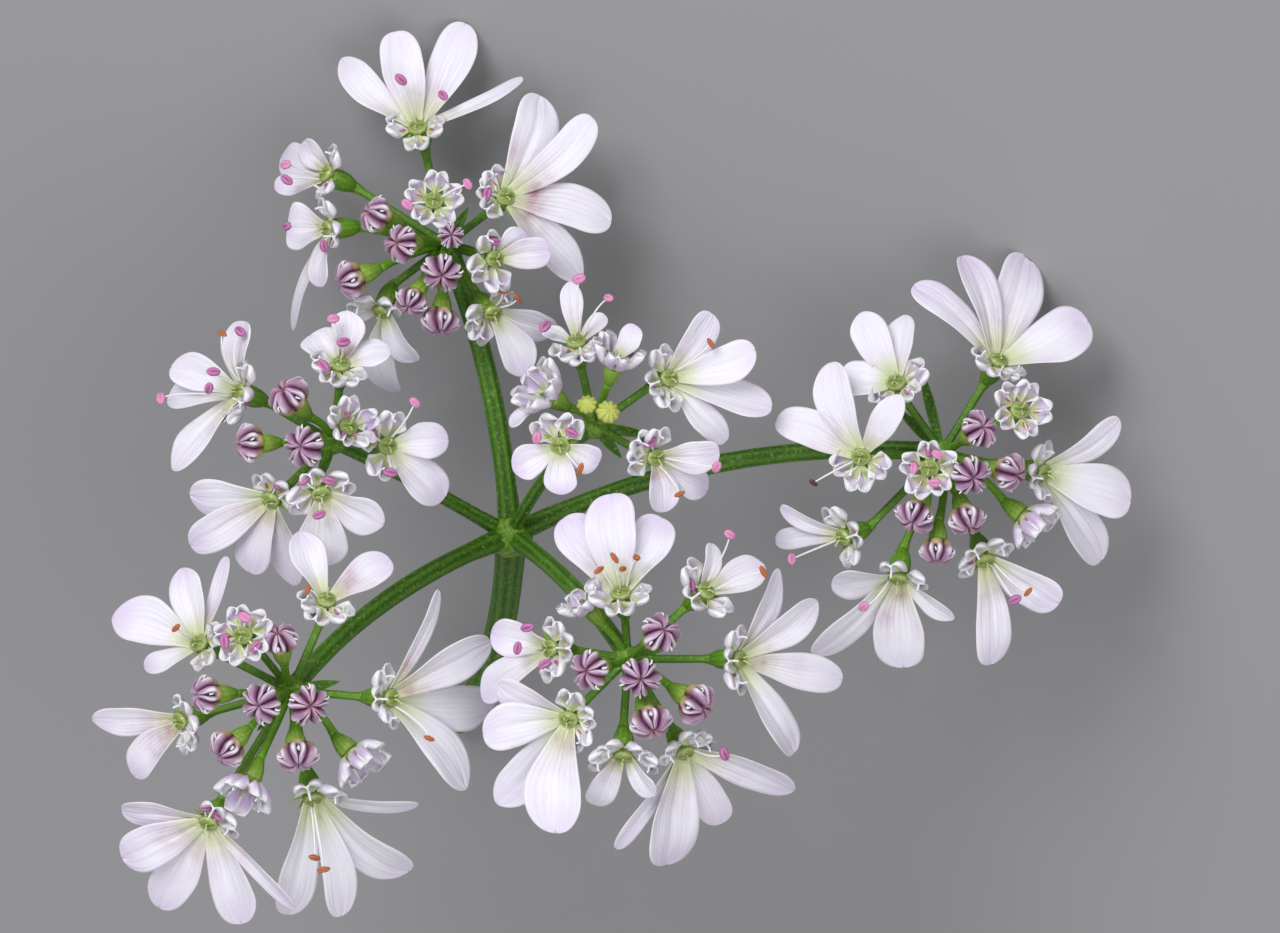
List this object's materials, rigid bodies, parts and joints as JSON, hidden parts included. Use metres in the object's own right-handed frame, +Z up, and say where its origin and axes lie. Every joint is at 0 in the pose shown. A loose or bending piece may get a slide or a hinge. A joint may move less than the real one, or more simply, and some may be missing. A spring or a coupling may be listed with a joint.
{
  "type": "coriander flower head",
  "caption": "Cut flower head of coriander: an umbel of small umbels with white, lilac-tipped petals, lilac buds and a short green stalk.",
  "frame": {"origin": "on the surface the head lies on, under the middle of its box", "axes": "+Z up from the surface; +X to the right across the face of the head, as seen by someone looking down on the face; +Y away from that viewer"},
  "size_m": [0.0426, 0.0366, 0.0305],
  "materials": {
    "stem_green": "satin",
    "petal_white": "matte",
    "bud_lilac": "satin"
  },
  "bodies": {
    "root": {"buds_centre": "bud_lilac", "buds_left": "bud_lilac", "buds_lower": "bud_lilac", "buds_lower_left": "bud_lilac", "buds_right": "bud_lilac", "buds_top": "bud_lilac", "flower_centre_1": "petal_white", "flower_centre_2": "petal_white", "flower_centre_3": "petal_white", "flower_centre_4": "petal_white", "flower_left_1": "petal_white", "flower_left_2": "petal_white", "flower_left_3": "petal_white", "flower_left_4": "petal_white", "flower_left_5": "petal_white", "flower_lower_1": "petal_white", "flower_lower_2": "petal_white", "flower_lower_3": "petal_white", "flower_lower_4": "petal_white", "flower_lower_5": "petal_white", "flower_lower_6": "petal_white", "flower_lower_7": "petal_white", "flower_lower_left_1": "petal_white", "flower_lower_left_2": "petal_white", "flower_lower_left_3": "petal_white", "flower_lower_left_4": "petal_white", "flower_lower_left_5": "petal_white", "flower_lower_left_6": "petal_white", "flower_lower_left_7": "petal_white", "flower_right_1": "petal_white", "flower_right_2": "petal_white", "flower_right_3": "petal_white", "flower_right_4": "petal_white", "flower_right_5": "petal_white", "flower_right_6": "petal_white", "flower_right_7": "petal_white", "flower_right_8": "petal_white", "flower_right_9": "petal_white", "flower_top_1": "petal_white", "flower_top_2": "petal_white", "flower_top_3": "petal_white", "flower_top_4": "petal_white", "flower_top_5": "petal_white", "flower_top_6": "petal_white", "flower_top_7": "petal_white", "flower_top_8": "petal_white", "ray_centre": "stem_green", "ray_left": "stem_green", "ray_lower": "stem_green", "ray_lower_left": "stem_green", "ray_right": "stem_green", "ray_top": "stem_green", "stalk": "stem_green"}
  },
  "joints": []
}
